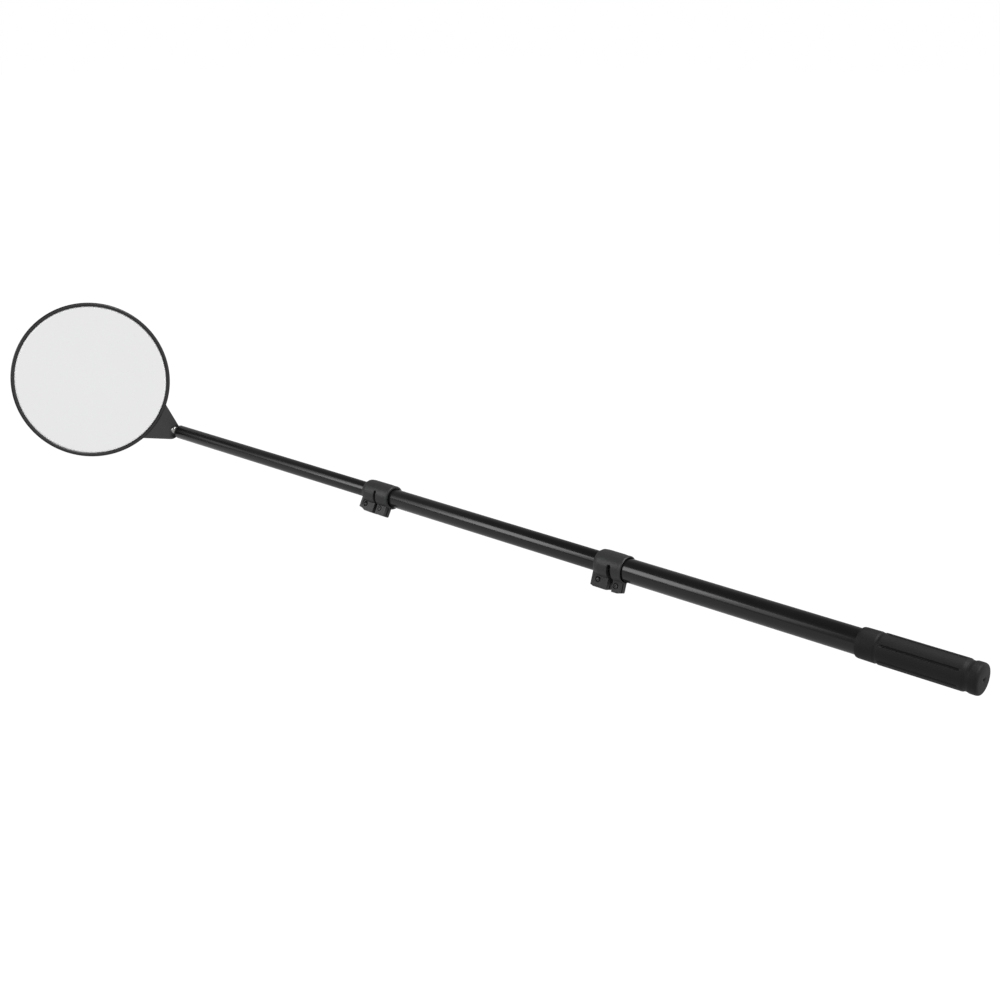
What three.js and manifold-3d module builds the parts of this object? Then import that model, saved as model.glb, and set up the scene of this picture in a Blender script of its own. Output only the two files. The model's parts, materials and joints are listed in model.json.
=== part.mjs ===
// Telescoping inspection mirror, in millimetres, +Z up.
// The pole lies level along +X (mirror end at low X, grip at high X) and the round mirror is
// tilted on its ball joint. The model is built round the centre of the ball, then moved so that
// its origin is the middle of its bounding box at the surface that it lies on.

import * as THREE from 'three';
import { mergeVertices } from 'three/addons/utils/BufferGeometryUtils.js';
import Module from 'manifold-3d';

const wasm = await Module();
wasm.setup();

// ---------------------------------------------------------------- driving dimensions

const GAP = 0.3;                 // clearance kept between pieces that touch
const ROUND = 32;                // sides of a large turned piece
const INNER_ROUND = 20;          // sides of a hidden turned piece
const SMALL_ROUND = 14;          // sides of a fastener
const DISC_ROUND = 60;           // sides of the mirror's round pieces

const HANDLE_RADIUS = 11.1;      // 7/8 inch tube
const MID_RADIUS = 9.525;        // 3/4 inch tube
const TIP_RADIUS = 7.95;         // 5/8 inch tube
const TUBE_WALL = 0.9;
const TUBE_OVERLAP = 60;         // length that stays inside the next tube when extended

const UPPER_COLLAR = {
  name: 'upper', front: 346, rear: 384.6, slot: 366.6, radius: 12.4, tilt: -29,
  innerTube: TIP_RADIUS, outerTube: MID_RADIUS, earFront: 344, earRear: 381.4, earThickness: 8.4,
  earDepth: 21.6,
  chamferRun: 9, chamferRise: 2.6, boltX: 351.8, boltDepth: 14.6, screwX: 372.8, screwDepth: 14.8,
  leverHeight: 5.2, leverLength: 25, slotTop: 1.7, slotFoot: 2,
};
const LOWER_COLLAR = {
  name: 'lower', front: 655.5, rear: 687, slot: 674.3, radius: 13, tilt: -17,
  innerTube: MID_RADIUS, outerTube: HANDLE_RADIUS, earFront: 653, earRear: 685, earThickness: 10.4,
  earDepth: 22.6,
  chamferRun: 3, chamferRise: 1, boltX: 660.2, boltDepth: 15.2, screwX: 680.8, screwDepth: 16.4,
  leverHeight: 5.8, leverLength: 22, slotTop: 2.3, slotFoot: 2.9,
};
const SLIT_WIDTH = 1.4;          // gap between the two halves of an ear
const CAM_RADIUS = 4;
const PIN_RADIUS = 1;
const BOLT_RADIUS = 1.5;
const SCREW_RADIUS = 1.3;
const HEAD_RADIUS = 2.1;
const RECESS_RADIUS = 2.9;
const HEAD_RECESS = 1.3;

const GRIP_START = 918;
const GRIP_END = 1019.5;
const GRIP_RADIUS = 13.2;
const GRIP_GROOVES = 6;
const GROOVE_TURN = 33;          // turn of the first groove above the horizontal, in degrees
const TUBE_END = 1012.5;

const BALL_RADIUS = 5;
const NECK_RADIUS = 2.25;
const SEAT_RADIUS = BALL_RADIUS + 0.35;
const LINER_RADIUS = 6;
const TIP_START = 8.4;           // face of the tip plug, from the centre of the ball
const PLUG_LENGTH = 4.4;

const ARM = 112.9;               // centre of the ball to centre of the mirror
const RIM_RADIUS = 91;
const RIM_WIDTH = 4.5;
const RIM_FRONT = 4.2;
const RIM_BACK = -4.6;
const GLASS_RADIUS = 88.6;
const GLASS_FRONT = 2.4;
const GLASS_THICKNESS = 3;
const GLASS_BEVEL = 3.8;
const TONGUE_FRONT = 3.2;
const TONGUE_BACK = -3;
const TONGUE_END = 6;            // how far the tongue reaches past the centre of the ball
const TONGUE_HIGH = [20.6, 4.6]; // upper edge, from the middle line, at the rim and at the end
const TONGUE_LOW = [27.6, 9.4];  // lower edge, the same way
const TONGUE_CHAMFER = 2.4;      // width of the slope along the tongue's lower edge
const BOSS_BACK = -8;

// Pose of the mirror head: its axes are written as turns about X, then Y, then Z.
const HEAD_SPIN = 61.7;
const HEAD_PITCH = 58.6;
const HEAD_YAW = -12.5;

// ---------------------------------------------------------------- materials

const paint = (color, roughness, metalness = 0) =>
  new THREE.MeshStandardMaterial({ color, roughness, metalness });

const glossBlack = () => paint(0x141416, 0.25, 0.3);
const mouldedBlack = () => paint(0x2b2b2e, 0.6);
const rubberBlack = () => paint(0x1c1c1e, 0.85);
const nylonWhite = () => paint(0xd8d6cc, 0.5);
const steel = () => paint(0xb8b8bb, 0.25, 1);
const darkSteel = () => paint(0x3a3a3d, 0.4, 0.9);
const silveredGlass = () => paint(0xe6e8ea, 0.03, 1);
const foamGrey = () => paint(0x55565a, 0.95);

// ---------------------------------------------------------------- solids

function toSolid(geometry) {
  const bare = geometry.clone();
  bare.deleteAttribute('normal');
  bare.deleteAttribute('uv');
  const merged = mergeVertices(bare, 1e-4);
  return new wasm.Manifold(new wasm.Mesh({
    numProp: 3,
    vertProperties: Float32Array.from(merged.attributes.position.array),
    triVerts: Uint32Array.from(merged.index.array),
  }));
}

function toGeometry(solid) {
  const mesh = solid.getMesh();
  const geometry = new THREE.BufferGeometry();
  geometry.setAttribute('position', new THREE.BufferAttribute(mesh.vertProperties, 3));
  geometry.setIndex(new THREE.BufferAttribute(mesh.triVerts, 1));
  geometry.computeVertexNormals();
  return geometry;
}

// A piece turned about the X axis: the profile lists [x, radius] with the outside running to +X.
function turnedX(profile, sides = ROUND) {
  const points = profile.map(([x, radius]) => new THREE.Vector2(radius, x));
  return toSolid(new THREE.LatheGeometry(points, sides).rotateZ(-Math.PI / 2));
}

// A piece turned about the Y axis at (x, z): the profile lists [y, radius].
function turnedY(profile, x, z, sides = SMALL_ROUND) {
  const points = profile.map(([y, radius]) => new THREE.Vector2(radius, y));
  return toSolid(new THREE.LatheGeometry(points, sides).translate(x, 0, z));
}

// A piece turned about the Z axis at (x, y): the profile lists [z, radius].
function turnedZ(profile, x = 0, y = 0, sides = SMALL_ROUND) {
  const points = profile.map(([z, radius]) => new THREE.Vector2(radius, z));
  return toSolid(new THREE.LatheGeometry(points, sides).rotateX(Math.PI / 2).translate(x, y, 0));
}

const rod = (from, to, radius) => [[from, 0], [from, radius], [to, radius], [to, 0]];
const ring = (from, to, outer, inner) =>
  [[from, inner], [from, outer], [to, outer], [to, inner], [from, inner]];

function block(low, high) {
  const size = high.map((value, i) => value - low[i]);
  const middle = high.map((value, i) => (value + low[i]) / 2);
  return toSolid(new THREE.BoxGeometry(...size).translate(...middle));
}

function extrudeZ(shape, from, to) {
  const options = { depth: to - from, bevelEnabled: false, curveSegments: 6 };
  return toSolid(new THREE.ExtrudeGeometry(shape, options).translate(0, 0, from));
}

// An outline with each corner rounded: corners are [x, y, radius], anticlockwise.
function roundedShape(corners) {
  const shape = new THREE.Shape();
  corners.forEach(([x, y, radius], i) => {
    const corner = new THREE.Vector2(x, y);
    const before = new THREE.Vector2(...corners.at(i - 1).slice(0, 2));
    const after = new THREE.Vector2(...corners[(i + 1) % corners.length].slice(0, 2));
    const start = corner.clone().add(before.sub(corner).setLength(radius));
    const end = corner.clone().add(after.sub(corner).setLength(radius));
    if (i === 0) shape.moveTo(start.x, start.y);
    else shape.lineTo(start.x, start.y);
    shape.quadraticCurveTo(corner.x, corner.y, end.x, end.y);
  });
  return shape;
}

function ball(radius) {
  const steps = 8;
  const profile = [];
  for (let i = 0; i <= steps; i += 1) {
    const angle = -Math.PI / 2 + (Math.PI * i) / steps;
    const onAxis = i === 0 || i === steps;
    profile.push([radius * Math.sin(angle), onAxis ? 0 : radius * Math.cos(angle)]);
  }
  return profile;
}

function addPiece(group, name, solid, material) {
  const mesh = new THREE.Mesh(toGeometry(solid), material);
  mesh.name = name;
  group.add(mesh);
}

// ---------------------------------------------------------------- tubes and slides

function addTube(group, name, from, to, radius) {
  addPiece(group, name, turnedX(ring(from, to, radius, radius - TUBE_WALL)), glossBlack());
}

// A nylon guide on the hidden end of a tube: a sleeve inside the tube and a flange behind it.
function addGuideBush(group, name, tubeEnd, tubeRadius, outerTubeRadius) {
  const sleeve = tubeRadius - TUBE_WALL - GAP;
  const flange = outerTubeRadius - TUBE_WALL - GAP;
  const hollow = sleeve - 1.6;
  const profile = [
    [tubeEnd - 12, hollow], [tubeEnd - 12, sleeve], [tubeEnd + GAP, sleeve],
    [tubeEnd + GAP, flange], [tubeEnd + 5, flange], [tubeEnd + 5, hollow],
    [tubeEnd - 12, hollow],
  ];
  addPiece(group, name, turnedX(profile, INNER_ROUND), nylonWhite());
}

// ---------------------------------------------------------------- collars

// The ears as one block below the ring, with the front lower corner cut back at a slant.
function earSolid(c) {
  const shape = roundedShape([
    [c.earFront, c.chamferRise - c.earDepth, 0.5],
    [c.earFront + c.chamferRun / 2, c.chamferRise * 0.7 - c.earDepth, 0.5],
    [c.earFront + c.chamferRun, -c.earDepth, 0.5],
    [c.earRear, -c.earDepth, 1.6], [c.earRear, 0, 0.5], [c.earFront, 0, 0.5],
  ]);
  return extrudeZ(shape, -c.earThickness / 2, c.earThickness / 2).rotate([90, 0, 0]);
}

// The cross slot that frees the clamping half of a collar: round at the top, wider at the foot.
function crossSlot(c) {
  const reach = c.radius + 2;
  const top = turnedY(rod(-reach, reach, c.slotTop), c.slot, -0.6);
  const shape = new THREE.Shape();
  shape.moveTo(c.slot - c.slotTop, -0.6);
  shape.lineTo(c.slot - c.slotFoot - 0.4, -c.earDepth - 2);
  shape.lineTo(c.slot + c.slotFoot, -c.earDepth - 2);
  shape.lineTo(c.slot + c.slotTop, -0.6);
  return extrudeZ(shape, -reach, reach).rotate([90, 0, 0]).add(top);
}

function collarSolid(c) {
  const { front, rear, slot, radius, innerTube, outerTube, earThickness } = c;
  const half = earThickness / 2;
  const frontBore = innerTube + GAP;
  const rearBore = outerTube + GAP;
  const mouth = rearBore + 0.5;
  const outside = turnedX([
    [front, 0], [front, radius - 1.7], [front + 2, radius - 0.4], [front + 6, radius + 0.1],
    [rear - 8, radius + 0.1], [rear - 3, radius - 0.3], [rear - 2.6, radius],
    [rear - 0.8, radius], [rear, radius - 0.5], [rear, 0],
  ]);
  const bore = turnedX([
    [front - 4, 0], [front - 4, frontBore], [slot, frontBore], [slot, rearBore],
    [rear - 2.5, rearBore], [rear - 2.5, mouth], [rear + 1, mouth], [rear + 1, 0],
  ]);
  const slit = block(
    [c.earFront - 1, -SLIT_WIDTH / 2, -c.earDepth - 2],
    [rear + 1, SLIT_WIDTH / 2, 0],
  );
  const boltHole = turnedY(rod(-half - 1, half + 1, BOLT_RADIUS + GAP), c.boltX, -c.boltDepth);
  const screwHole = turnedY(rod(-half - 1, half + 1, SCREW_RADIUS + GAP), c.screwX, -c.screwDepth);
  const recess = rod(-half - 1, -half + HEAD_RECESS, RECESS_RADIUS);
  const nutPocket = turnedY(rod(half - 1.9, half + 1, 3.2), c.screwX, -c.screwDepth, 6);
  return outside.add(earSolid(c))
    .subtract(bore)
    .subtract(slit)
    .subtract(crossSlot(c))
    .subtract(boltHole)
    .subtract(screwHole)
    .subtract(turnedY(recess, c.boltX, -c.boltDepth))
    .subtract(turnedY(recess, c.screwX, -c.screwDepth))
    .subtract(nutPocket);
}

// Bolt with a domed head on the near ear and a flat eye for the lever pin behind the far ear.
function lockBolt(c, pinY) {
  const half = c.earThickness / 2;
  const seat = -half + HEAD_RECESS - GAP;
  const profile = [
    [seat - 1.8, 0], [seat - 1.7, 1], [seat - 1.2, 1.8], [seat - 0.4, HEAD_RADIUS],
    [seat, HEAD_RADIUS], [seat, BOLT_RADIUS], [pinY - 0.5, BOLT_RADIUS], [pinY - 0.5, 0],
  ];
  const eyeHalf = c.leverHeight / 4;
  const eye = turnedZ(rod(-eyeHalf, eyeHalf, 2.6), c.boltX, pinY).translate([0, 0, -c.boltDepth]);
  const hole = turnedZ(rod(-3, 3, PIN_RADIUS + GAP), c.boltX, pinY).translate([0, 0, -c.boltDepth]);
  return turnedY(profile, c.boltX, -c.boltDepth).add(eye).subtract(hole);
}

function camLever(c, pinY) {
  const high = c.leverHeight / 2;
  const slotHalf = c.leverHeight / 4 + GAP;
  const armInner = -CAM_RADIUS + 0.1;
  const arm = roundedShape([
    [0, armInner, 0.5], [c.leverLength - 6, armInner, 3], [c.leverLength, armInner + 2.4, 1],
    [c.leverLength - 0.8, armInner + 4.6, 1], [c.leverLength - 8, armInner + 3, 3],
    [6, armInner + 3, 3], [0, CAM_RADIUS - 0.2, 0.5],
  ]);
  const cam = turnedZ(rod(-high, high, CAM_RADIUS), 0, 0, 18);
  const fork = block([-CAM_RADIUS - 1, -CAM_RADIUS - 1, -slotHalf], [3.1, CAM_RADIUS + 1, slotHalf]);
  const hole = turnedZ(rod(-high - 1, high + 1, PIN_RADIUS + GAP));
  return extrudeZ(arm, -high, high).add(cam).subtract(fork).subtract(hole)
    .translate([c.boltX, pinY, -c.boltDepth]);
}

function pinchScrew(c) {
  const half = c.earThickness / 2;
  const seat = -half + HEAD_RECESS - GAP;
  const profile = [
    [seat - 1.4, 0], [seat - 1.4, HEAD_RADIUS - 0.3], [seat - 1.1, HEAD_RADIUS],
    [seat, HEAD_RADIUS], [seat, SCREW_RADIUS], [half - 0.6, SCREW_RADIUS], [half - 0.6, 0],
  ];
  const socket = turnedY(rod(seat - 2, seat - 0.5, 1.3), c.screwX, -c.screwDepth, 6);
  return turnedY(profile, c.screwX, -c.screwDepth).subtract(socket);
}

function pinchNut(c) {
  const half = c.earThickness / 2;
  return turnedY(ring(half - 1.6, half - 0.1, 2.85, SCREW_RADIUS + GAP), c.screwX, -c.screwDepth, 6);
}

function addCollar(parent, c) {
  const group = new THREE.Group();
  group.rotation.x = THREE.MathUtils.degToRad(c.tilt);
  const pinY = c.earThickness / 2 + GAP + CAM_RADIUS;
  const pinHalf = c.leverHeight / 2 - 0.2;
  const pin = turnedZ(rod(-pinHalf, pinHalf, PIN_RADIUS), c.boltX, pinY);
  addPiece(group, `${c.name}_collar`, collarSolid(c), mouldedBlack());
  addPiece(group, `${c.name}_lock_bolt`, lockBolt(c, pinY), darkSteel());
  addPiece(group, `${c.name}_lever_pin`, pin.translate([0, 0, -c.boltDepth]), steel());
  addPiece(group, `${c.name}_cam_lever`, camLever(c, pinY), mouldedBlack());
  addPiece(group, `${c.name}_pinch_screw`, pinchScrew(c), darkSteel());
  addPiece(group, `${c.name}_pinch_nut`, pinchNut(c), steel());
  parent.add(group);
}

// ---------------------------------------------------------------- grip

function gripSolid() {
  const bore = HANDLE_RADIUS + GAP;
  const r = GRIP_RADIUS;
  const neck = GRIP_END - 13.5;
  let grip = turnedX([
    [GRIP_START, bore], [GRIP_START, 12.7], [GRIP_START + 1.6, r - 0.1], [GRIP_START + 16, r],
    [GRIP_START + 16.6, r - 0.5], [GRIP_START + 18, r - 0.5], [GRIP_START + 18.6, r],
    [neck, r], [neck + 1.5, r - 0.9], [neck + 4, r - 0.9], [neck + 5.5, r - 0.1],
    [GRIP_END - 2.2, r - 0.1], [GRIP_END - 0.6, r - 1], [GRIP_END, r - 2.4],
    [GRIP_END, 1.2], [TUBE_END + 3, 1.2], [TUBE_END + 3, bore], [GRIP_START, bore],
  ]);
  for (let i = 0; i < GRIP_GROOVES; i += 1) {
    const turn = -GROOVE_TURN + (360 / GRIP_GROOVES) * i;
    const groove = block([GRIP_START + 20, -r - 1, -0.8], [neck - 1.8, -r + 0.9, 0.8]);
    grip = grip.subtract(groove.rotate([turn, 0, 0]));
  }
  return grip;
}

function endPlugSolid() {
  const inside = HANDLE_RADIUS - TUBE_WALL - GAP;
  return turnedX([
    [TUBE_END - 16, inside - 1.8], [TUBE_END - 16, inside - 0.4], [TUBE_END - 14, inside],
    [TUBE_END + GAP, inside], [TUBE_END + GAP, HANDLE_RADIUS - 0.2],
    [TUBE_END + 2, HANDLE_RADIUS - 0.2], [TUBE_END + 2, 0], [TUBE_END - 1, 0],
    [TUBE_END - 1, inside - 1.8], [TUBE_END - 16, inside - 1.8],
  ], INNER_ROUND);
}

// ---------------------------------------------------------------- ball stud and tip

function ballStud() {
  const neck = [[3, 0], [3, NECK_RADIUS], [TIP_START + 12, NECK_RADIUS], [TIP_START + 12, 0]];
  return turnedX(ball(BALL_RADIUS), 18).add(turnedX(neck, SMALL_ROUND));
}

function tipPlug() {
  const r = TIP_RADIUS;
  const inside = r - TUBE_WALL - GAP;
  const shoulder = TIP_START + PLUG_LENGTH - GAP;
  const hole = NECK_RADIUS + GAP;
  return turnedX([
    [TIP_START, hole], [TIP_START, r - 2.6], [TIP_START + 0.8, r - 0.9], [TIP_START + 2.6, r],
    [shoulder, r], [shoulder, inside], [shoulder + 18, inside], [shoulder + 18, hole],
    [TIP_START, hole],
  ]);
}

function tipWasher() {
  return turnedX(ring(TIP_START - 1.5, TIP_START - GAP, 5.8, NECK_RADIUS + GAP), 20);
}

// ---------------------------------------------------------------- mirror head
// Head frame: the ball is at the origin, +X runs from the mirror out along the tongue, and +Z is
// the way that the glass faces.

const rimX = (y) => -ARM + Math.sqrt(RIM_RADIUS ** 2 - y ** 2);

function tongueShape(grow) {
  const root = -ARM + 82;
  const end = TONGUE_END + grow;
  const [highRoot, highEnd] = TONGUE_HIGH.map((y) => y + grow);
  const [lowRoot, lowEnd] = TONGUE_LOW.map((y) => y + grow);
  return roundedShape([
    [root, -lowRoot, 0.5], [rimX(lowRoot), -lowRoot, 0.5], [end, -lowEnd, 5],
    [end, highEnd, 2.6], [rimX(highRoot), highRoot, 0.5], [root, highRoot, 0.5],
  ]);
}

// The block that slopes the tongue's lower front edge, turned to lie along that edge.
function tongueChamfer() {
  const [rootY, endY] = TONGUE_LOW;
  const length = TONGUE_END - rimX(rootY);
  const edge = THREE.MathUtils.radToDeg(Math.atan2(rootY - endY, length));
  const slope = THREE.MathUtils.radToDeg(Math.atan2(TONGUE_FRONT - TONGUE_BACK - 2, TONGUE_CHAMFER));
  return block([-60, -20, 0], [30, 20, 12])
    .rotate([slope, 0, 0])
    .translate([0, TONGUE_CHAMFER, 0])
    .rotate([0, 0, edge])
    .translate([TONGUE_END, -endY, TONGUE_FRONT]);
}

const bossShape = (grow) => roundedShape([
  [-17 - grow, -7.6 - grow, 3], [7.1 + grow, -7.6 - grow, 4],
  [7.1 + grow, 7.6 + grow, 4], [-17 - grow, 7.6 + grow, 3],
]);

const CAP_SCREW_X = -12;
const CAP_SCREW_Y = 4.2;

function backShell() {
  const tray = turnedZ([
    [-7.4, 0], [-7, 30], [-5.3, 84], [-3.2, 86.2], [-3.2, 89], [-2.4, 89], [-2.4, 0],
  ], -ARM, 0, DISC_ROUND);
  const tongue = extrudeZ(tongueShape(0), TONGUE_BACK, TONGUE_FRONT).subtract(tongueChamfer());
  const glassRoom = turnedZ(rod(-2.4, RIM_FRONT, GLASS_RADIUS + 0.4), -ARM, 0, DISC_ROUND);
  const boss = extrudeZ(bossShape(0), BOSS_BACK, TONGUE_BACK + 1)
    .subtract(block([TONGUE_END, -9, TONGUE_BACK - 0.2], [9, 9, 0]));
  const dish = turnedZ([[2.3, 0], [2.3, 6.2], [TONGUE_FRONT + 0.1, 11], [TONGUE_FRONT + 0.1, 0]]);
  const seat = turnedZ(ball(SEAT_RADIUS), 0, 0, 20);
  const loadingBore = turnedZ(rod(BOSS_BACK - 1, -3.6, LINER_RADIUS + GAP), 0, 0, 20);
  const linerRoom = turnedZ(ball(LINER_RADIUS + GAP), 0, 0, 20)
    .subtract(block([-9, -9, 1.2], [9, 9, 9]))
    .subtract(block([4.6, -9, -2.4], [9, 9, 9]));
  const slot = new THREE.Shape();
  slot.moveTo(0, -NECK_RADIUS - 0.7);
  slot.lineTo(TONGUE_END + 3, -NECK_RADIUS - 2.4);
  slot.lineTo(TONGUE_END + 3, NECK_RADIUS + 2.4);
  slot.lineTo(0, NECK_RADIUS + 0.7);
  const neckSlot = extrudeZ(slot, -3.4, TONGUE_FRONT + 1);
  let shell = tray.add(tongue.subtract(glassRoom)).add(boss);
  shell = shell.subtract(dish).subtract(seat).subtract(linerRoom);
  shell = shell.subtract(loadingBore).subtract(neckSlot);
  for (const y of [-CAP_SCREW_Y, CAP_SCREW_Y]) {
    shell = shell.subtract(turnedZ(rod(BOSS_BACK - 1, -1.5, 1.5), CAP_SCREW_X, y));
  }
  return shell;
}

// A cup that is part of a sphere inside and out, so that it can turn with the ball.
function socketLiner() {
  const steps = 5;
  const halfAngle = THREE.MathUtils.degToRad(33);
  const profile = [];
  for (let i = 0; i <= steps; i += 1) {
    const angle = (halfAngle * i) / steps;
    profile.push([-LINER_RADIUS * Math.cos(angle), LINER_RADIUS * Math.sin(angle)]);
  }
  for (let i = steps; i >= 0; i -= 1) {
    const angle = (halfAngle * i) / steps;
    profile.push([-SEAT_RADIUS * Math.cos(angle), SEAT_RADIUS * Math.sin(angle)]);
  }
  return turnedZ(profile, 0, 0, 20).rotate([0, 20, 0]);
}

function socketCap() {
  let cap = extrudeZ(bossShape(-0.2), BOSS_BACK - GAP - 2, BOSS_BACK - GAP);
  for (const y of [-CAP_SCREW_Y, CAP_SCREW_Y]) {
    cap = cap.subtract(turnedZ(rod(BOSS_BACK - 4, BOSS_BACK + 1, 1.5), CAP_SCREW_X, y));
  }
  return cap;
}

function capScrew(y) {
  const seat = BOSS_BACK - GAP - 2 - GAP;
  const profile = [
    [seat - 1.5, 0], [seat - 1.5, 1.6], [seat - 0.9, 2.4], [seat, 2.4], [seat, 1.2],
    [-2, 1.2], [-2, 0],
  ];
  const cross = block([CAP_SCREW_X - 1.2, y - 0.3, seat - 2], [CAP_SCREW_X + 1.2, y + 0.3, seat - 0.8]);
  return turnedZ(profile, CAP_SCREW_X, y).subtract(cross);
}

// Spring washer behind the liner: a cone.
function springWasher() {
  return turnedZ([
    [-6.4, 3], [-7.8, 5.8], [-7.3, 5.8], [-5.9, 3], [-6.4, 3],
  ], 0, 0, 18);
}

function mirrorGlass() {
  const back = GLASS_FRONT - GLASS_THICKNESS;
  return turnedZ([
    [back, 0], [back, GLASS_RADIUS], [GLASS_FRONT - 0.8, GLASS_RADIUS],
    [GLASS_FRONT, GLASS_RADIUS - GLASS_BEVEL], [GLASS_FRONT, 0],
  ], -ARM, 0, DISC_ROUND);
}

function foamPad() {
  return turnedZ(rod(-2.1, GLASS_FRONT - GLASS_THICKNESS - GAP, 86), -ARM, 0, 28);
}

function mirrorRim() {
  const outer = RIM_RADIUS;
  const lip = RIM_RADIUS - RIM_WIDTH;
  const wall = RIM_RADIUS - 1.6;
  const lipBack = GLASS_FRONT + 0.4;
  const trim = turnedZ([
    [RIM_BACK, outer - 4.4], [RIM_BACK, outer - 1], [RIM_BACK + 1, outer], [RIM_FRONT - 1, outer],
    [RIM_FRONT, outer - 1.2], [RIM_FRONT - 0.2, lip + 1], [lipBack + 0.4, lip],
    [lipBack, lip], [lipBack, wall], [RIM_BACK + 1, wall],
    [RIM_BACK + 1, outer - 4.4], [RIM_BACK, outer - 4.4],
  ], -ARM, 0, DISC_ROUND);
  const notch = extrudeZ(tongueShape(GAP), TONGUE_BACK - GAP, TONGUE_FRONT + GAP);
  return trim.subtract(notch);
}

function addMirrorHead(parent) {
  const head = new THREE.Group();
  const { degToRad } = THREE.MathUtils;
  head.rotation.set(degToRad(HEAD_SPIN), degToRad(HEAD_PITCH), degToRad(HEAD_YAW), 'XYZ');
  addPiece(head, 'back_shell', backShell(), mouldedBlack());
  addPiece(head, 'mirror_rim', mirrorRim(), mouldedBlack());
  addPiece(head, 'mirror_glass', mirrorGlass(), silveredGlass());
  addPiece(head, 'foam_pad', foamPad(), foamGrey());
  addPiece(head, 'socket_cap', socketCap(), mouldedBlack());
  addPiece(head, 'cap_screw_1', capScrew(-CAP_SCREW_Y), steel());
  addPiece(head, 'cap_screw_2', capScrew(CAP_SCREW_Y), steel());
  addPiece(head, 'spring_washer', springWasher(), steel());
  addPiece(head, 'socket_liner', socketLiner(), nylonWhite());
  parent.add(head);
}

// ---------------------------------------------------------------- assembly

const mirror = new THREE.Group();

const handleStart = LOWER_COLLAR.slot + LOWER_COLLAR.slotTop + 0.4;
const midStart = UPPER_COLLAR.slot + UPPER_COLLAR.slotTop + 0.4;
const midEnd = LOWER_COLLAR.slot + TUBE_OVERLAP;
const tipStart = TIP_START + PLUG_LENGTH;
const tipEnd = UPPER_COLLAR.slot + TUBE_OVERLAP;

addTube(mirror, 'handle_tube', handleStart, TUBE_END, HANDLE_RADIUS);
addPiece(mirror, 'hand_grip', gripSolid(), rubberBlack());
addPiece(mirror, 'tube_end_plug', endPlugSolid(), mouldedBlack());
addCollar(mirror, LOWER_COLLAR);
addTube(mirror, 'mid_tube', midStart, midEnd, MID_RADIUS);
addGuideBush(mirror, 'mid_guide_bush', midEnd, MID_RADIUS, HANDLE_RADIUS);
addCollar(mirror, UPPER_COLLAR);
addTube(mirror, 'tip_tube', tipStart, tipEnd, TIP_RADIUS);
addGuideBush(mirror, 'tip_guide_bush', tipEnd, TIP_RADIUS, MID_RADIUS);
addPiece(mirror, 'tip_plug', tipPlug(), mouldedBlack());
addPiece(mirror, 'tip_washer', tipWasher(), steel());
addPiece(mirror, 'ball_stud', ballStud(), steel());
addMirrorHead(mirror);

// The origin is the middle of the bounding box, at the height of the surface it lies on.
mirror.updateMatrixWorld(true);
const box = new THREE.Box3().setFromObject(mirror, true);
mirror.position.set(-(box.min.x + box.max.x) / 2, -(box.min.y + box.max.y) / 2, -box.min.z);
mirror.updateMatrixWorld(true);

export default mirror;
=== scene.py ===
import json
import math

import bmesh
import bpy
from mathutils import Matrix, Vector


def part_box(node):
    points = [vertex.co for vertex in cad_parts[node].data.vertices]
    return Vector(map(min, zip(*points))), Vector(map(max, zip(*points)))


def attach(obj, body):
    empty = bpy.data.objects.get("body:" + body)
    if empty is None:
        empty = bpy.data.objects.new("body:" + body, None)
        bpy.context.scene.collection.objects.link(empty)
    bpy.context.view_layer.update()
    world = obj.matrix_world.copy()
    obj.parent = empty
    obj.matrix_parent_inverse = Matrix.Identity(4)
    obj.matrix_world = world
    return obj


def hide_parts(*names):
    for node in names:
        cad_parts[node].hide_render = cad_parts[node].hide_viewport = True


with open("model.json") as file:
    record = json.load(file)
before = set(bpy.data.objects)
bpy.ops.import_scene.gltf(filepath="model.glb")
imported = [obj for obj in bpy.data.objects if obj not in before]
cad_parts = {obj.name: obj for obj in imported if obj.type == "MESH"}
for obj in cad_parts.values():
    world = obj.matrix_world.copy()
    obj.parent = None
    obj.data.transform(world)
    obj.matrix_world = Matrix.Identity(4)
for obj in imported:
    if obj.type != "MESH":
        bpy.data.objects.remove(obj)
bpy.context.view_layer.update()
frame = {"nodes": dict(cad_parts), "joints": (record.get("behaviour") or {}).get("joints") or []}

JOINTS = {joint["name"]: joint for joint in frame["joints"]}
BALL = Vector(JOINTS["ball_spin"]["pos_m"])

# Shapes are worked out in millimetres, and placed in metres.
MM = 0.001
TUBE_WALL = 0.9
GAP = 0.3
SAME_POINT = 1e-6


# ---------------------------------------------------------------- camera

CAMERA_AZIMUTH = math.radians(42.06)
CAMERA_ELEVATION = math.radians(18.74)
CAMERA_DISTANCE = 1.3
AIM_FROM_BALL = Vector((0.5554, -0.0261, 0.0433))
LENS_MM = 50
SENSOR_MM = 36
NEAREST_SEEN = 0.05
FARTHEST_SEEN = 100


def add_camera():
    data = bpy.data.cameras.new("camera")
    data.lens = LENS_MM
    data.sensor_width = SENSOR_MM
    data.clip_start = NEAREST_SEEN
    data.clip_end = FARTHEST_SEEN
    camera = bpy.data.objects.new("camera", data)
    flat = math.cos(CAMERA_ELEVATION)
    back = Vector((
        math.sin(CAMERA_AZIMUTH) * flat,
        -math.cos(CAMERA_AZIMUTH) * flat,
        math.sin(CAMERA_ELEVATION),
    ))
    camera.location = BALL + AIM_FROM_BALL + back * CAMERA_DISTANCE
    camera.rotation_euler = (-back).to_track_quat("-Z", "Y").to_euler()
    bpy.context.scene.collection.objects.link(camera)
    bpy.context.scene.camera = camera


# ---------------------------------------------------------------- material nodes

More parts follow.
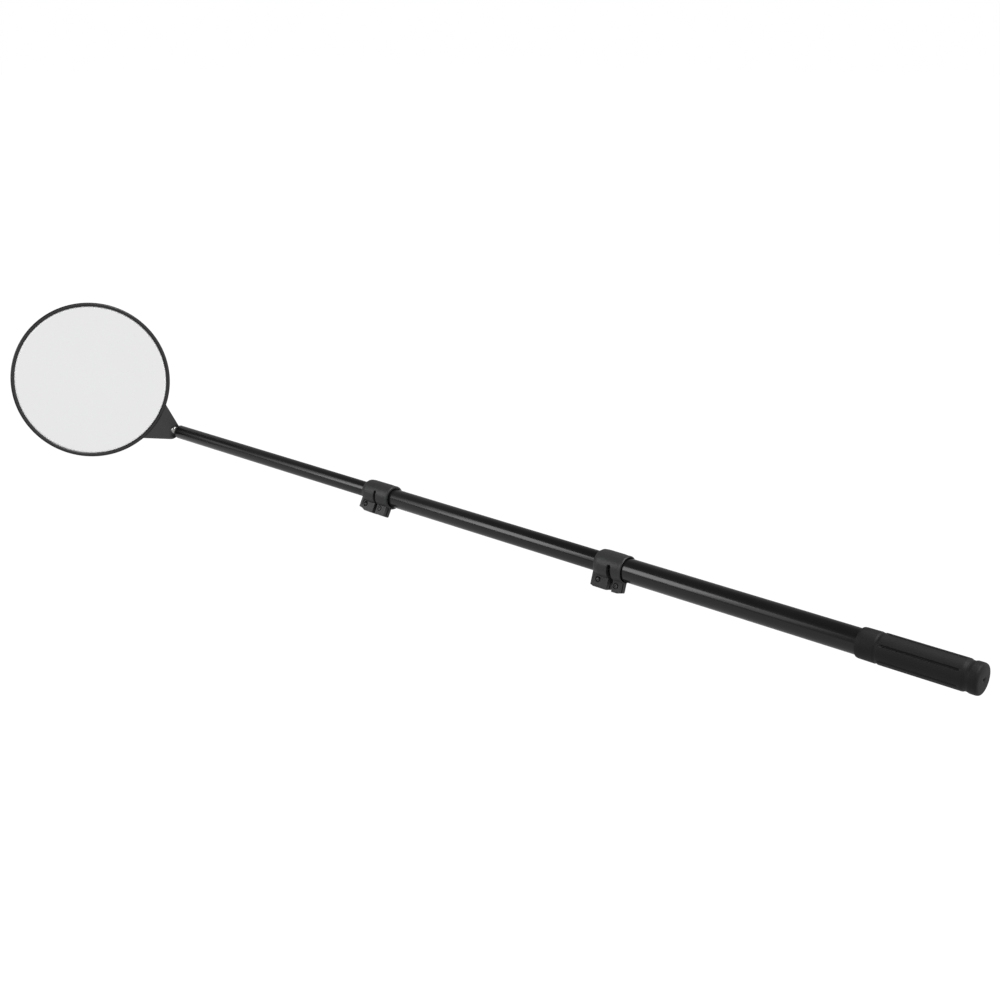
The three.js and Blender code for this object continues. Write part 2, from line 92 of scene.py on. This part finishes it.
# A Mix node has several sockets of one name, so these are reached by number.
MIX_FACTOR = 0
MIX_NUMBER_A = 2
MIX_NUMBER_B = 3
MIX_COLOUR_A = 6
MIX_COLOUR_B = 7
MIXED_NUMBER = 0
MIXED_COLOUR = 2


def node(tree, kind, **sockets):
    made = tree.nodes.new(kind)
    for name, value in sockets.items():
        made.inputs[name.replace("_", " ")].default_value = value
    return made


def object_coordinates(tree, scale=(1, 1, 1)):
    coordinates = tree.nodes.new("ShaderNodeTexCoord")
    mapping = node(tree, "ShaderNodeMapping", Scale=scale)
    tree.links.new(coordinates.outputs["Object"], mapping.inputs["Vector"])
    return mapping.outputs["Vector"]


def noise(tree, scale, detail, stretch=(1, 1, 1)):
    made = node(tree, "ShaderNodeTexNoise", Scale=scale, Detail=detail, Roughness=0.6)
    tree.links.new(object_coordinates(tree, stretch), made.inputs["Vector"])
    return made.outputs["Fac"]


def remap(tree, value, low, high, from_low=0.3, from_high=0.7):
    made = tree.nodes.new("ShaderNodeMapRange")
    made.inputs["From Min"].default_value = from_low
    made.inputs["From Max"].default_value = from_high
    made.inputs["To Min"].default_value = low
    made.inputs["To Max"].default_value = high
    tree.links.new(value, made.inputs["Value"])
    return made.outputs["Result"]


def mix_colour(tree, factor, first, second):
    made = tree.nodes.new("ShaderNodeMix")
    made.data_type = "RGBA"
    made.inputs[MIX_COLOUR_A].default_value = (*first, 1)
    made.inputs[MIX_COLOUR_B].default_value = (*second, 1)
    tree.links.new(factor, made.inputs[MIX_FACTOR])
    return made.outputs[MIXED_COLOUR]


def bump(tree, height, distance, strength, normal=None):
    made = node(tree, "ShaderNodeBump", Distance=distance, Strength=strength)
    tree.links.new(height, made.inputs["Height"])
    if normal is not None:
        tree.links.new(normal, made.inputs["Normal"])
    return made.outputs["Normal"]


def start_material(name, metallic=0.0, specular=0.5):
    material = bpy.data.materials.new(name)
    material.use_nodes = True
    tree = material.node_tree
    shader = tree.nodes["Principled BSDF"]
    shader.inputs["Metallic"].default_value = metallic
    shader.inputs["Specular IOR Level"].default_value = specular
    return material, tree, shader


def finish_surface(tree, shader, colour, roughness, normal=None):
    tree.links.new(colour, shader.inputs["Base Color"])
    tree.links.new(roughness, shader.inputs["Roughness"])
    if normal is not None:
        tree.links.new(normal, shader.inputs["Normal"])


# ---------------------------------------------------------------- materials

def tube_coat():
    """Gloss black coating on drawn tube: fine lengthwise lines and a faint orange peel."""
    material, tree, shader = start_material("tube_coat", specular=0.5)
    cloud = noise(tree, 22, 4.0)
    lines = noise(tree, 1600, 2.0, stretch=(0.01, 1, 1))
    peel = noise(tree, 700, 1.0)
    colour = mix_colour(tree, cloud, (0.0045, 0.0045, 0.005), (0.011, 0.0105, 0.0115))
    roughness = remap(tree, cloud, 0.16, 0.21)
    normal = bump(tree, lines, 0.000001, 0.3)
    normal = bump(tree, peel, 0.000002, 0.2, normal)
    finish_surface(tree, shader, colour, roughness, normal)
    return material


def moulded_plastic(name, dark, light, rough):
    """Moulded plastic with an etched grain and slightly cloudy, lighter patches."""
    material, tree, shader = start_material(name, specular=0.45)
    cloud = noise(tree, 90, 5.0)
    speckle = noise(tree, 2600, 2.0)
    colour = mix_colour(tree, cloud, dark, light)
    roughness = remap(tree, speckle, rough - 0.07, rough + 0.07)
    normal = bump(tree, speckle, 0.00004, 0.8)
    finish_surface(tree, shader, colour, roughness, normal)
    return material


def grip_rubber():
    """Matt black rubber: a fine pebble grain, and paler dust in random patches."""
    material, tree, shader = start_material("grip_rubber", specular=0.3)
    cloud = noise(tree, 60, 6.0)
    pebble = tree.nodes.new("ShaderNodeTexVoronoi")
    pebble.inputs["Scale"].default_value = 1900
    tree.links.new(object_coordinates(tree), pebble.inputs["Vector"])
    colour = mix_colour(tree, cloud, (0.005, 0.005, 0.0052), (0.0105, 0.0102, 0.0105))
    roughness = remap(tree, cloud, 0.5, 0.66)
    normal = bump(tree, pebble.outputs["Distance"], 0.00005, 0.5)
    finish_surface(tree, shader, colour, roughness, normal)
    return material


def bare_metal(name, dark, light, rough):
    """Plated or blackened steel with fine tool marks and slight tarnish."""
    material, tree, shader = start_material(name, metallic=1.0)
    tarnish = noise(tree, 260, 5.0)
    marks = noise(tree, 3500, 2.0)
    colour = mix_colour(tree, tarnish, dark, light)
    roughness = remap(tree, tarnish, rough - 0.05, rough + 0.1)
    normal = bump(tree, marks, 0.000006, 0.6)
    finish_surface(tree, shader, colour, roughness, normal)
    return material


def silvered_glass():
    """Silvered glass: a clean mirror with the faintest film of smears."""
    material, tree, shader = start_material("silvered_glass", metallic=1.0)
    smear = noise(tree, 14, 5.0, stretch=(1, 2.4, 1))
    colour = mix_colour(tree, smear, (0.7, 0.7, 0.702), (0.716, 0.716, 0.718))
    roughness = remap(tree, smear, 0.012, 0.035)
    finish_surface(tree, shader, colour, roughness)
    return material


def ground_edge():
    """The bevelled edge of the glass, ground to a white frost."""
    material, tree, shader = start_material("ground_edge", specular=0.5)
    marks = noise(tree, 900, 2.0)
    colour = mix_colour(tree, marks, (0.95, 0.96, 0.96), (1.0, 1.0, 1.0))
    roughness = remap(tree, marks, 0.25, 0.35)
    finish_surface(tree, shader, colour, roughness)
    return material


def nylon():
    """Pale moulded nylon, slightly mottled."""
    material, tree, shader = start_material("nylon", specular=0.4)
    cloud = noise(tree, 200, 3.0)
    colour = mix_colour(tree, cloud, (0.62, 0.6, 0.53), (0.74, 0.72, 0.66))
    roughness = remap(tree, cloud, 0.38, 0.5)
    finish_surface(tree, shader, colour, roughness, bump(tree, cloud, 0.00002, 0.5))
    return material


def foam():
    """Dark open-cell foam."""
    material, tree, shader = start_material("foam", specular=0.2)
    cells = noise(tree, 1500, 4.0)
    colour = mix_colour(tree, cells, (0.1, 0.1, 0.105), (0.24, 0.24, 0.25))
    roughness = remap(tree, cells, 0.85, 1.0)
    finish_surface(tree, shader, colour, roughness, bump(tree, cells, 0.0002, 0.9))
    return material


# ---------------------------------------------------------------- pieces in mesh code

NEARLY_STRAIGHT = math.radians(176)
REACH_OF_SIDE = 0.45
SHARP_IN_TURNED = math.radians(38)
BALL_SIDES = 64
TIP_SIDES = 96
TUBE_SIDES = 128
HEAD_SIDES = 240
GRIP_SIDES = 288


def is_closed(profile):
    return (Vector(profile[0]) - Vector(profile[-1])).length < SAME_POINT


def soften(points, radius, steps=3):
    """Rounds each inner corner of a profile with a short curve."""
    points = [Vector(p) for p in points]
    closed = is_closed(points)
    if closed:
        points = points[:-1]
    count = len(points)
    made = []
    for i, corner in enumerate(points):
        if not closed and i in (0, count - 1):
            made.append(corner)
            continue
        before = points[i - 1] - corner
        after = points[(i + 1) % count] - corner
        if before.angle(after) > NEARLY_STRAIGHT:
            made.append(corner)
            continue
        reach = min(radius, before.length * REACH_OF_SIDE, after.length * REACH_OF_SIDE)
        start = corner + before.normalized() * reach
        end = corner + after.normalized() * reach
        for step in range(steps + 1):
            t = step / steps
            made.append(start * (1 - t) ** 2 + corner * 2 * t * (1 - t) + end * t ** 2)
    if closed:
        made.append(made[0])
    return made


def turn(name, profile, place, segments, shape=None):
    """A closed piece turned about an axis. The profile lists (along, radius) in millimetres and
    starts and ends on the axis or closes on itself. place(along, radius, angle) gives a point in
    metres, and shape(along, radius, angle), if given, changes both first."""
    closed = is_closed(profile)
    rows = profile[:-1] if closed else profile
    mesh = bmesh.new()
    rings = []
    for along, radius in rows:
        if radius < SAME_POINT:
            rings.append([mesh.verts.new(place(along, 0.0, 0.0))])
            continue
        ring = []
        for i in range(segments):
            angle = 2 * math.pi * i / segments
            a, r = shape(along, radius, angle) if shape else (along, radius)
            ring.append(mesh.verts.new(place(a, r, angle)))
        rings.append(ring)
    pairs = list(zip(rings, rings[1:]))
    if closed:
        pairs.append((rings[-1], rings[0]))
    for low, high in pairs:
        for i in range(segments):
            j = (i + 1) % segments
            corners = [low[i % len(low)], low[j % len(low)], high[j % len(high)], high[i % len(high)]]
            unique = list(dict.fromkeys(corners))
            if len(unique) > 2:
                mesh.faces.new(unique)
    bmesh.ops.recalc_face_normals(mesh, faces=mesh.faces)
    return finish_mesh(name, mesh, SHARP_IN_TURNED)


def finish_mesh(name, mesh, sharp_angle):
    data = bpy.data.meshes.new(name)
    mesh.to_mesh(data)
    mesh.free()
    for polygon in data.polygons:
        polygon.use_smooth = True
    data.set_sharp_from_angle(angle=sharp_angle)
    made = bpy.data.objects.new(name, data)
    bpy.context.scene.collection.objects.link(made)
    return made


def on_pole(along, radius, angle):
    """Millimetres along the pole from the ball, and round it, to a point in the shared frame."""
    return BALL + Vector((along, -radius * math.cos(angle), radius * math.sin(angle))) * MM


def add_piece(piece, body, material, replaced):
    piece.data.materials.clear()
    piece.data.materials.append(material)
    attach(piece, body)
    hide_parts(replaced)


def along_pole(name):
    """The first and last point of a CAD node along the pole, in millimetres from the ball."""
    low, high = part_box(name)
    return (low.x - BALL.x) / MM, (high.x - BALL.x) / MM


def pole_radius(name):
    low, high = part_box(name)
    return (high.y - low.y) / 2 / MM


# ---------------------------------------------------------------- refined CAD solids

WELD_METRES = 1e-6
FLAT_ENOUGH = math.radians(1.5)
SHARP_IN_SOLID = math.radians(30)
EDGE_TO_ROUND = math.radians(32)
EDGE_STEPS = 3
MOULDED_EDGE = 0.45
THIN_EDGE = 0.4
SCREW_EDGE = 0.12


def refine(name, material, width, body):
    """A fine copy of a CAD solid: coplanar faces joined, and every sharp edge rounded."""
    mesh = bmesh.new()
    mesh.from_mesh(frame["nodes"][name].data)
    bmesh.ops.remove_doubles(mesh, verts=mesh.verts, dist=WELD_METRES)
    bmesh.ops.dissolve_limit(mesh, angle_limit=FLAT_ENOUGH, verts=mesh.verts, edges=mesh.edges)
    piece = finish_mesh(name + "_fine", mesh, SHARP_IN_SOLID)
    bevel = piece.modifiers.new("edges", "BEVEL")
    bevel.width = width * MM
    bevel.segments = EDGE_STEPS
    bevel.limit_method = "ANGLE"
    bevel.angle_limit = EDGE_TO_ROUND
    bevel.harden_normals = True
    bevel.use_clamp_overlap = True
    add_piece(piece, body, material, name)


# ---------------------------------------------------------------- tubes

def add_tube(name, body, material):
    first, last = along_pole(name)
    outer = pole_radius(name)
    inner = outer - TUBE_WALL
    profile = soften([
        (first, inner), (first, outer), (last, outer), (last, inner), (first, inner),
    ], 0.3)
    piece = turn(name + "_fine", profile, on_pole, TUBE_SIDES)
    add_piece(piece, body, material, name)


def add_tip(material, steel):
    """The plug that closes the thinnest tube, and the thin washer in front of it."""
    first, last = along_pole("tip_plug")
    outer = pole_radius("tip_plug")
    inner = outer - TUBE_WALL - GAP
    hole = 2.55
    washer_hole = 2.6
    shank = 18
    shoulder = last - shank
    profile = soften([
        (first, hole), (first, outer - 2.8), (first + 0.9, outer - 1.0), (first + 3.0, outer),
        (shoulder, outer), (shoulder, inner), (last, inner), (last, hole), (first, hole),
    ], 0.9, 5)
    plug = turn("tip_plug_fine", profile, on_pole, TIP_SIDES)
    add_piece(plug, "tip_section", material, "tip_plug")
    first, last = along_pole("tip_washer")
    outer = pole_radius("tip_washer")
    profile = soften([
        (first, washer_hole), (first, outer), (last, outer), (last, washer_hole),
        (first, washer_hole),
    ], 0.35)
    washer = turn("tip_washer_fine", profile, on_pole, TIP_SIDES)
    add_piece(washer, "tip_section", steel, "tip_washer")


def add_ball_stud(steel):
    """A ball about the joint's centre, on a neck that runs into the tube."""
    first, last = along_pole("ball_stud")
    radius = -first
    neck = 2.25
    chamfer = 0.4
    profile = []
    steps = 40
    stop = math.acos(neck / radius)
    for i in range(steps + 1):
        angle = -math.pi / 2 + (math.pi / 2 + stop) * i / steps
        profile.append((radius * math.sin(angle), 0.0 if i == 0 else radius * math.cos(angle)))
    profile += [(last - chamfer, neck), (last, neck - chamfer), (last, 0.0)]
    stud = turn("ball_stud_fine", profile, on_pole, BALL_SIDES)
    add_piece(stud, "ball", steel, "ball_stud")


# ---------------------------------------------------------------- grip

GROOVES = 6
GROOVE_TURN = math.radians(33)
GROOVE_HALF_WIDTH = 1.1
GROOVE_DEPTH = 1.25
GROOVE_RUN_OUT = 2.0


def add_grip(material):
    """A rubber sleeve: a plain band, lengthwise grooves, a neck and a closed, rounded butt."""
    first, last = along_pole("hand_grip")
    outer = pole_radius("hand_grip")
    bore = 11.4
    neck = last - 13.5
    bottom = last - 4
    groove_start = first + 20
    groove_end = neck - 1.8
    step = 0.4
    tolerance = 0.01
    profile = [
        (first, bore), (first, 12.6), (first + 1.8, outer - 0.25), (first + 15.6, outer - 0.1),
        (first + 16.4, outer - 0.6), (first + 18.0, outer - 0.6), (first + 18.9, outer),
    ]
    groove_rows = [groove_start + step * i for i in range(7)]
    groove_rows += [groove_start + 12 * i for i in range(1, 5)]
    groove_rows += [groove_end - step * i for i in range(6, -1, -1)]
    profile += [(along, outer) for along in groove_rows]
    profile += [
        (neck, outer), (neck + 1.6, outer - 0.85), (neck + 4.0, outer - 0.85),
        (neck + 5.6, outer - 0.12), (last - 2.6, outer - 0.1), (last - 0.9, outer - 0.8),
        (last - 0.3, outer - 2.4), (last - 0.1, outer - 7), (last, 3.0), (last - 0.5, 1.5),
        (last - 0.8, 1.2), (bottom, 1.2), (bottom, bore), (first, bore),
    ]

    def groove(along, radius, angle):
        """Sinks the full-width rows near each groove's middle line, and less near its ends."""
        if radius < outer - tolerance or not groove_start <= along <= groove_end:
            return along, radius
        period = 2 * math.pi / GROOVES
        offset = (angle - GROOVE_TURN + period / 2) % period - period / 2
        across = abs(offset) * radius / GROOVE_HALF_WIDTH
        if across >= 1:
            return along, radius
        from_end = min(along - groove_start, groove_end - along)
        depth = GROOVE_DEPTH * min(1.0, from_end / GROOVE_RUN_OUT) * (1 - across ** 3)
        return along, radius - depth

    grip = turn("hand_grip_fine", soften(profile, 0.7), on_pole, GRIP_SIDES, groove)
    add_piece(grip, "handle", material, "hand_grip")


# ---------------------------------------------------------------- mirror head

GLASS_FRONT = 2.4


def head_place():
    """The function that takes (along, radius, angle) about the mirror's own axis to the shared
    frame. The axis is square to the glass's widest face, and the angle starts at the tongue."""
    glass = frame["nodes"]["mirror_glass"].data
    across = Vector(JOINTS["ball_pitch"]["axis"]).normalized()
    facing = max(glass.polygons, key=lambda face: face.area).normal.copy()
    low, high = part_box("mirror_glass")
    if facing.dot((BALL - (low + high) / 2).cross(across)) < 0:
        facing.negate()
    out = across.cross(facing).normalized()

    def reach(direction):
        return [corner.co.dot(direction) for corner in glass.vertices]

    def middle(direction):
        return (min(reach(direction)) + max(reach(direction))) / 2

    front = max(reach(facing)) - GLASS_FRONT * MM
    centre = out * middle(out) + across * middle(across) + facing * front

    def place(along, radius, angle):
        flat = out * (radius * math.cos(angle)) + across * (radius * math.sin(angle))
        return centre + (flat + facing * along) * MM

    return place


def add_rim(place, material):
    """The ring round the glass: a lip in front, a flange behind, and a notch for the tongue."""
    outer = 90.85
    lip = outer - 4.5
    wall = outer - 1.6
    flange = outer - 4.4
    front = 4.2
    back = -4.6
    under = 2.8
    profile = soften([
        (back, flange), (back, outer - 0.9), (back + 0.9, outer), (front - 1.1, outer),
        (front, outer - 1.3), (front - 0.15, lip + 1.1), (under + 0.4, lip), (under, lip),
        (under, wall), (back + 1, wall), (back + 1, flange), (back, flange),
    ], 0.5)
    notch_to_one_side = 28.2
    notch_to_other_side = 21.2
    notch_from = -math.asin(notch_to_one_side / outer)
    notch_to = math.asin(notch_to_other_side / outer)
    notch_floor = 3.4
    squash = 0.02

    def notch(along, radius, angle):
        """Presses all that lies behind the notch's floor into a thin layer."""
        turned = (angle + math.pi) % (2 * math.pi) - math.pi
        if notch_from < turned < notch_to and along < notch_floor:
            return notch_floor - squash * (notch_floor - along), radius
        return along, radius

    rim = turn("mirror_rim_fine", profile, place, HEAD_SIDES, notch)
    add_piece(rim, "head", material, "mirror_rim")


def add_glass(place, material, edge_material):
    """A flat disc with a wide bevel in front, which has the second material."""
    radius = 88.6
    bevel = 3.8
    bevel_drop = 0.8
    front = GLASS_FRONT
    back = front - 3
    chamfer = 0.3
    profile = [
        (back, 0.0), (back, radius - chamfer), (back + chamfer, radius),
        (front - bevel_drop, radius), (front, radius - bevel), (front, 0.0),
    ]
    glass = turn("mirror_glass_fine", profile, place, HEAD_SIDES)
    add_piece(glass, "head", material, "mirror_glass")
    glass.data.materials.append(edge_material)
    centre = place(0, 0, 0)
    for polygon in glass.data.polygons:
        reach = (polygon.center - centre).length
        polygon.use_smooth = False
        if reach > (radius - bevel) * MM:
            polygon.material_index = 1


# ---------------------------------------------------------------- studio

WHITE = (1, 1, 1, 1)
IN_VIEW = 1.0
FLOOR_TO_LIGHT = 0.52
FLOOR_REACH = 14.0
TOWARDS_BRIGHT_SIDE = (0.92, 0.39, 0.0)
BRIGHT_SIDE = 1.14
DIM_SIDE = 0.27
OVERHEAD = 0.22


def white_in_view(tree):
    """A mix of numbers that is white to the camera. Its first number is the light it gives."""
    rays = tree.nodes.new("ShaderNodeLightPath")
    mix = tree.nodes.new("ShaderNodeMix")
    mix.inputs[MIX_NUMBER_B].default_value = IN_VIEW
    tree.links.new(rays.outputs["Is Camera Ray"], mix.inputs[MIX_FACTOR])
    return mix


def floor_material():
    """Glows white in view, and dimmer for the light that it gives."""
    material = bpy.data.materials.new("floor_white")
    material.use_nodes = True
    tree = material.node_tree
    shader = tree.nodes["Principled BSDF"]
    shader.inputs["Base Color"].default_value = (0.05, 0.05, 0.05, 1)
    shader.inputs["Roughness"].default_value = 0.9
    shader.inputs["Specular IOR Level"].default_value = 0.0
    shader.inputs["Emission Color"].default_value = WHITE
    strength = white_in_view(tree)
    strength.inputs[MIX_NUMBER_A].default_value = FLOOR_TO_LIGHT
    tree.links.new(strength.outputs[MIXED_NUMBER], shader.inputs["Emission Strength"])
    return material


def add_floor():
    reach = FLOOR_REACH
    corners = [(-reach, -reach, 0), (reach, -reach, 0), (reach, reach, 0), (-reach, reach, 0)]
    data = bpy.data.meshes.new("floor")
    data.from_pydata(corners, [], [(0, 1, 2, 3)])
    data.materials.append(floor_material())
    floor = bpy.data.objects.new("floor", data)
    bpy.context.scene.collection.objects.link(floor)


def add_area(name, location, target, width, height, power):
    data = bpy.data.lights.new(name, "AREA")
    data.shape = "RECTANGLE"
    data.size = width
    data.size_y = height
    data.energy = power
    light = bpy.data.objects.new(name, data)
    light.location = location
    light.rotation_euler = (target - location).to_track_quat("-Z", "Y").to_euler()
    bpy.context.scene.collection.objects.link(light)


def add_lights():
    """A wide key light with a brighter middle, in front on the left, and a long light overhead."""
    middle = BALL + Vector((0.5, 0, 0))
    key = middle + Vector((-1.5, -1.72, 0.96))
    add_area("key_wide", key + Vector((0.1, 0, 0)), middle, 1.8, 1.2, 7.2)
    add_area("key_middle", key.lerp(middle, 0.02), middle, 0.8, 1.2, 9.0)
    add_area("top", middle + Vector((0.75, 0.3, 2.6)), middle, 2.2, 0.8, 60.0)


def add_world():
    """A pale studio: white to the camera, and brightest low down towards the bright side, dim
    overhead and on the other sides for the light that it gives."""
    world = bpy.data.worlds.new("studio")
    world.use_nodes = True
    bpy.context.scene.world = world
    tree = world.node_tree
    tree.nodes.clear()
    coordinates = tree.nodes.new("ShaderNodeTexCoord")
    split = tree.nodes.new("ShaderNodeSeparateXYZ")
    tree.links.new(coordinates.outputs["Generated"], split.inputs[0])
    side = tree.nodes.new("ShaderNodeVectorMath")
    side.operation = "DOT_PRODUCT"
    side.inputs[1].default_value = TOWARDS_BRIGHT_SIDE
    tree.links.new(coordinates.outputs["Generated"], side.inputs[0])
    by_side = remap(tree, side.outputs["Value"], DIM_SIDE, BRIGHT_SIDE, 0.0, 0.6)
    by_height = remap(tree, split.outputs["Z"], 1.0, OVERHEAD, 0.45, 0.85)
    level = tree.nodes.new("ShaderNodeMath")
    level.operation = "MULTIPLY"
    tree.links.new(by_side, level.inputs[0])
    tree.links.new(by_height, level.inputs[1])
    strength = white_in_view(tree)
    tree.links.new(level.outputs[0], strength.inputs[MIX_NUMBER_A])
    background = tree.nodes.new("ShaderNodeBackground")
    background.inputs["Color"].default_value = WHITE
    tree.links.new(strength.outputs[MIXED_NUMBER], background.inputs["Strength"])
    output = tree.nodes.new("ShaderNodeOutputWorld")
    tree.links.new(background.outputs[0], output.inputs["Surface"])


# ---------------------------------------------------------------- build

add_camera()

coat = tube_coat()
collar_plastic = moulded_plastic("collar_plastic", (0.02, 0.02, 0.0205), (0.032, 0.032, 0.033), 0.46)
shell_plastic = moulded_plastic("shell_plastic", (0.013, 0.0122, 0.0135), (0.019, 0.0178, 0.0195), 0.22)
rim_plastic = moulded_plastic("rim_plastic", (0.007, 0.007, 0.0072), (0.012, 0.012, 0.0125), 0.33)
plug_plastic = moulded_plastic("plug_plastic", (0.01, 0.01, 0.011), (0.016, 0.016, 0.017), 0.28)
black_steel = bare_metal("black_steel", (0.06, 0.06, 0.063), (0.11, 0.11, 0.114), 0.42)
bright_steel = bare_metal("bright_steel", (0.4, 0.4, 0.39), (0.55, 0.55, 0.54), 0.28)

add_tube("handle_tube", "handle", coat)
add_tube("mid_tube", "mid_section", coat)
add_tube("tip_tube", "tip_section", coat)
add_tip(plug_plastic, bright_steel)
add_ball_stud(bright_steel)
add_grip(grip_rubber())

mirror_place = head_place()
add_rim(mirror_place, rim_plastic)
add_glass(mirror_place, silvered_glass(), ground_edge())

refine("back_shell", shell_plastic, MOULDED_EDGE, "head")
refine("socket_cap", shell_plastic, THIN_EDGE, "head")
for number in (1, 2):
    refine(f"cap_screw_{number}", bright_steel, SCREW_EDGE, "head")
for side, body in (("lower", "handle"), ("upper", "mid_section")):
    refine(f"{side}_collar", collar_plastic, MOULDED_EDGE, body)
    refine(f"{side}_lock_bolt", black_steel, SCREW_EDGE, body)
    refine(f"{side}_pinch_screw", black_steel, SCREW_EDGE, body)
    refine(f"{side}_cam_lever", collar_plastic, THIN_EDGE, f"{side}_lever")

nylon_material = nylon()
foam_material = foam()
PLAIN_FINISH = {
    "tube_end_plug": plug_plastic, "mid_guide_bush": nylon_material,
    "tip_guide_bush": nylon_material, "socket_liner": nylon_material,
    "foam_pad": foam_material, "spring_washer": bright_steel,
    "lower_lever_pin": bright_steel, "upper_lever_pin": bright_steel,
    "lower_pinch_nut": bright_steel, "upper_pinch_nut": bright_steel,
}
for name, material in PLAIN_FINISH.items():
    solid = frame["nodes"][name]
    solid.data.materials.clear()
    solid.data.materials.append(material)

add_world()
add_floor()
add_lights()
bpy.context.scene.view_settings.view_transform = "Standard"
